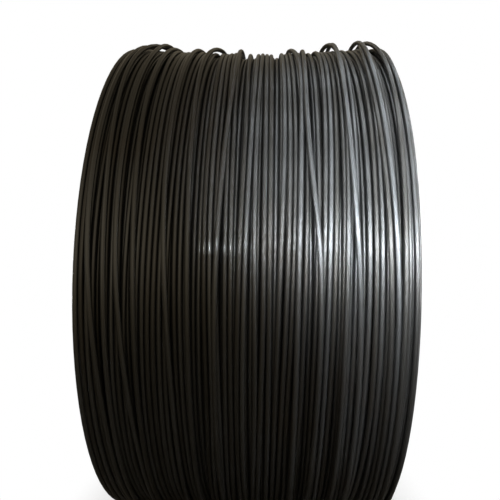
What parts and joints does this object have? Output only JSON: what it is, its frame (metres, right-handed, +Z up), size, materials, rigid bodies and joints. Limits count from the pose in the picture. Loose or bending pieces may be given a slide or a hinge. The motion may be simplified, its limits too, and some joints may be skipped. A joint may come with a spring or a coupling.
{
  "type": "coil of wire rod",
  "caption": "Coil of dark steel wire rod lying on its side: turns of rod wound in nested layers round an open bore, with the turns showing on its outside and both ends.",
  "frame": {"origin": "on the floor, below the middle of the coil, where the coil rests on its outer turns", "axes": "+X along the bore, +Z up; the pictured side faces -Y"},
  "size_m": [0.3772, 0.7636, 0.7635],
  "materials": {
    "rod_steel": "dark oiled semi-gloss steel"
  },
  "bodies": {
    "root": {"wire_coil": "rod_steel"}
  },
  "joints": []
}
